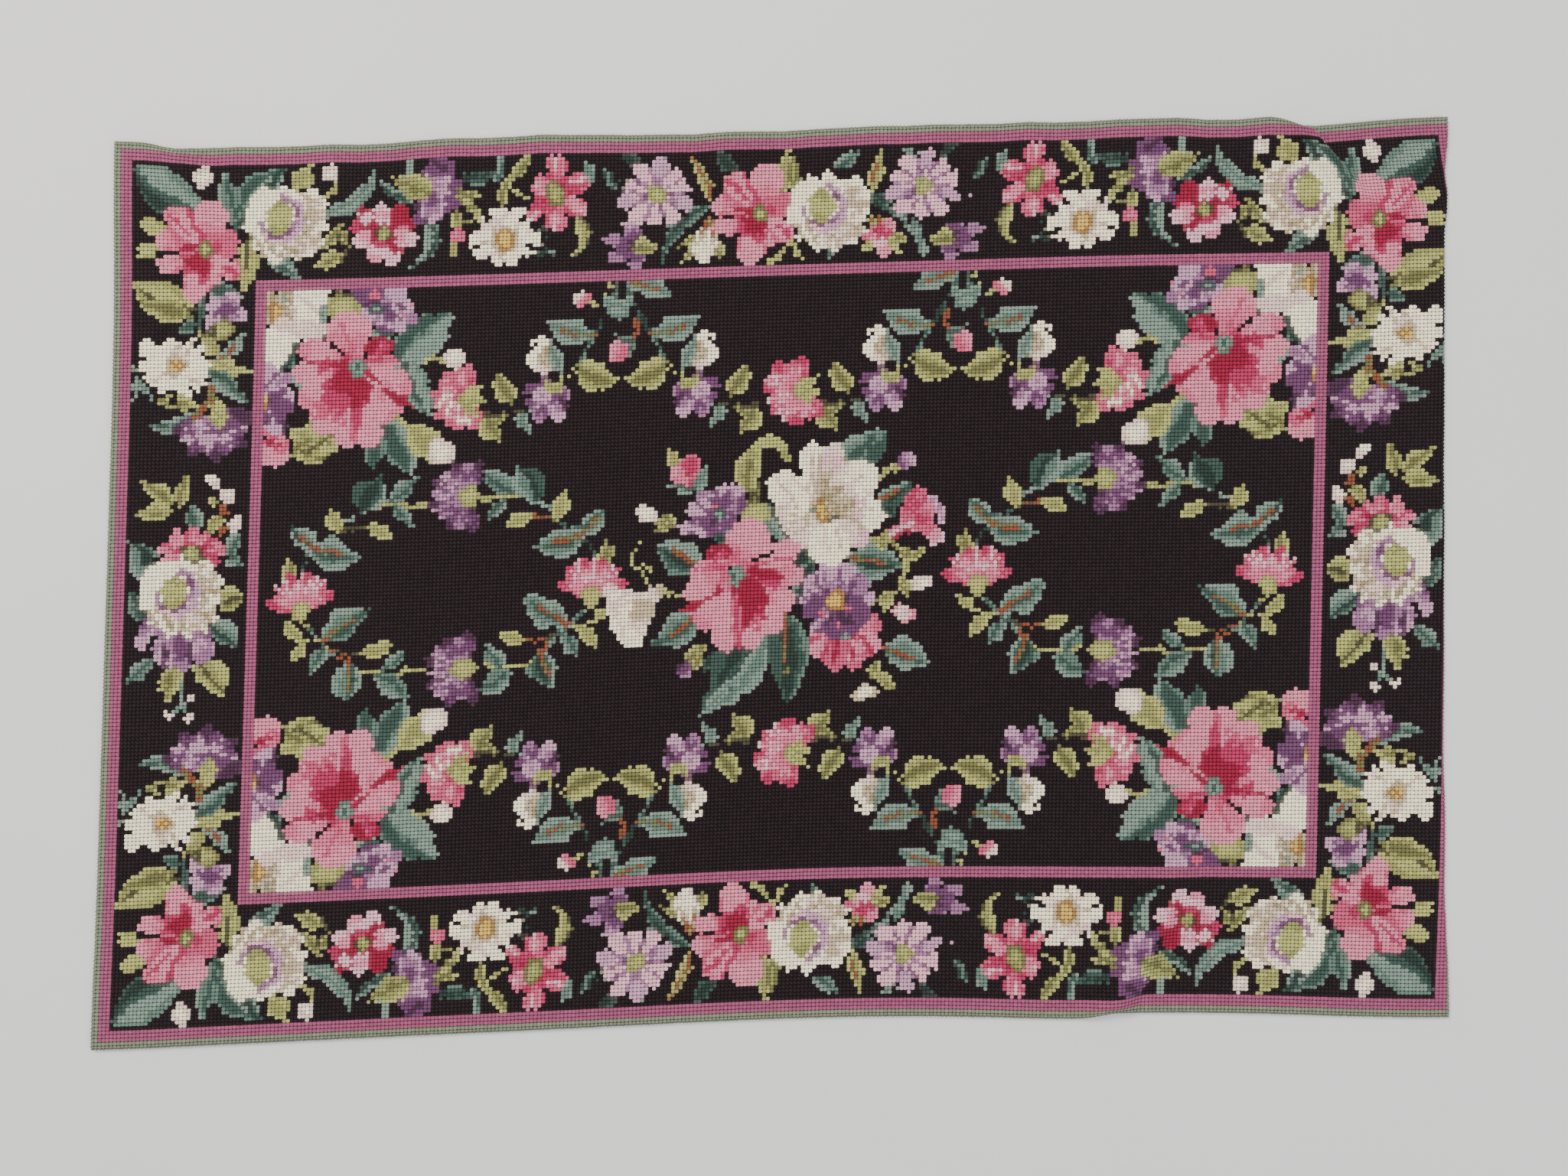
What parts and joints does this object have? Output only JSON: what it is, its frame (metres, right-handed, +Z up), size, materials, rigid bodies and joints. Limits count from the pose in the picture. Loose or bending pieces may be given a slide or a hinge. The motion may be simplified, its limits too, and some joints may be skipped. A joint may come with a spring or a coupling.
{
  "type": "needlepoint canvas panel",
  "caption": "Rectangular needlepoint panel, stitched all over in wool on canvas, a floral field in a floral border, edges turned under, lying flat with small folds at its rim.",
  "frame": {"origin": "on the surface the panel lies on, under the middle of its box", "axes": "+X along the stitch rows to the viewer's right, +Y up the pattern, +Z up, out of the stitched face"},
  "size_m": [0.9254, 0.6098, 0.0134],
  "materials": {
    "worked_wool": "wool stitches, dark brown ground with rose, green, cream and lilac flowers",
    "bare_canvas": "unworked open-mesh cotton canvas, off-white, seen only in the hem"
  },
  "bodies": {
    "root": {"needlepoint_panel": "worked_wool"}
  },
  "joints": []
}
